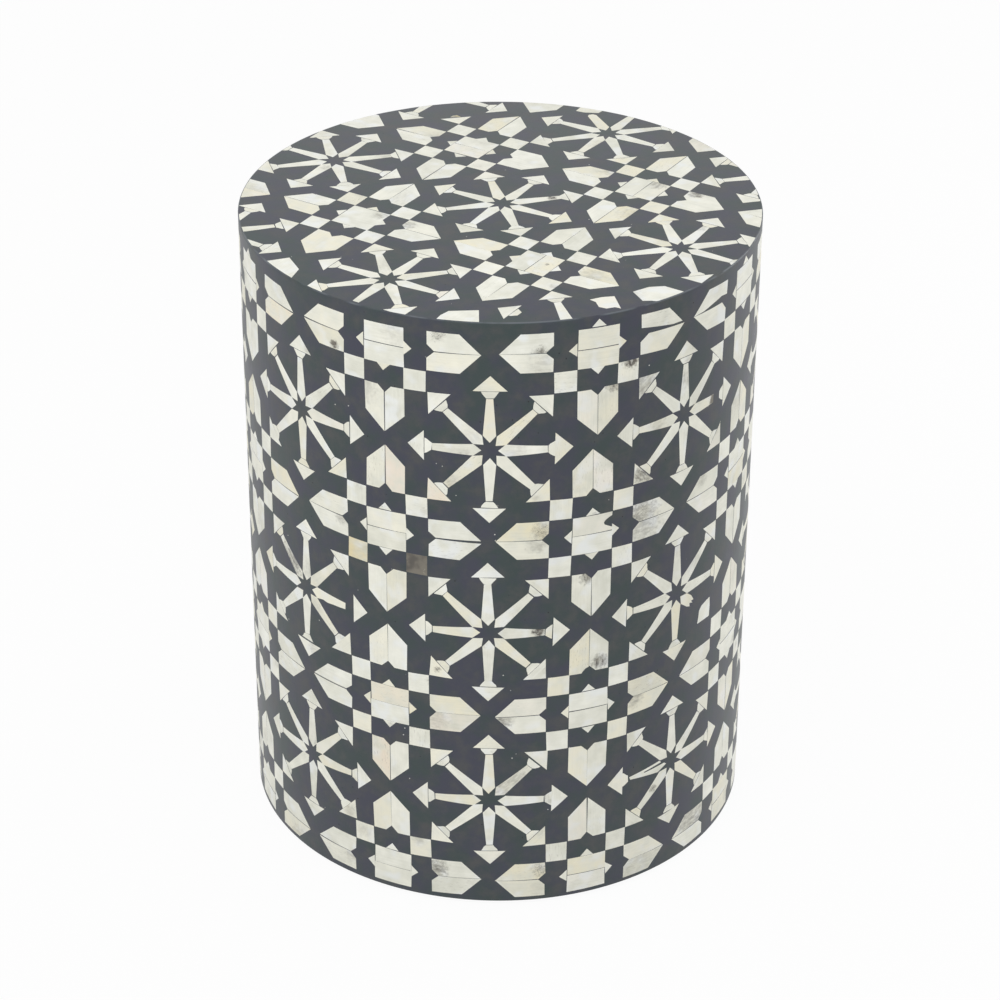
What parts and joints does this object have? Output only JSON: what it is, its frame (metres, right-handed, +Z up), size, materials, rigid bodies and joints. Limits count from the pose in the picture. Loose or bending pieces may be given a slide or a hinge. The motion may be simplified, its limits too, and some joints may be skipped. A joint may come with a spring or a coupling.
{
  "type": "drum stool",
  "caption": "Round drum stool with a flat seat, bone star-and-compass inlay in dark filler over a hollow timber carcass, on low glides.",
  "frame": {"origin": "on the floor, under the middle of the drum, in the plane of the glides' faces", "axes": "+Z up along the drum's axis, from the glides to the seat; -Y is the front that the picture faces; +X is to its right"},
  "size_m": [0.35, 0.35, 0.45],
  "materials": {
    "bone": "polished bone, satin",
    "filler": "sanded resin filler, satin",
    "board": "raw fibreboard",
    "plywood": "raw bending plywood",
    "pine": "planed pine",
    "glide": "moulded nylon",
    "steel": "zinc-plated steel"
  },
  "bodies": {
    "root": {"top_board": "board", "base_board": "board", "batten_1": "pine", "batten_2": "pine", "batten_3": "pine", "batten_4": "pine", "batten_5": "pine", "batten_6": "pine", "mid_hoop": "plywood", "skin_back": "plywood", "skin_front": "plywood", "side_filler": "filler", "seat_filler": "filler", "side_inlay_1": "bone", "side_inlay_2": "bone", "side_inlay_3": "bone", "side_inlay_4": "bone", "side_inlay_5": "bone", "side_inlay_6": "bone", "side_inlay_7": "bone", "side_inlay_8": "bone", "seat_inlay": "bone", "base_screw_1": "steel", "top_screw_1": "steel", "base_screw_2": "steel", "top_screw_2": "steel", "base_screw_3": "steel", "top_screw_3": "steel", "base_screw_4": "steel", "top_screw_4": "steel", "base_screw_5": "steel", "top_screw_5": "steel", "base_screw_6": "steel", "top_screw_6": "steel", "glide_1": "glide", "glide_nail_1": "steel", "glide_2": "glide", "glide_nail_2": "steel", "glide_3": "glide", "glide_nail_3": "steel", "glide_4": "glide", "glide_nail_4": "steel"}
  },
  "joints": []
}
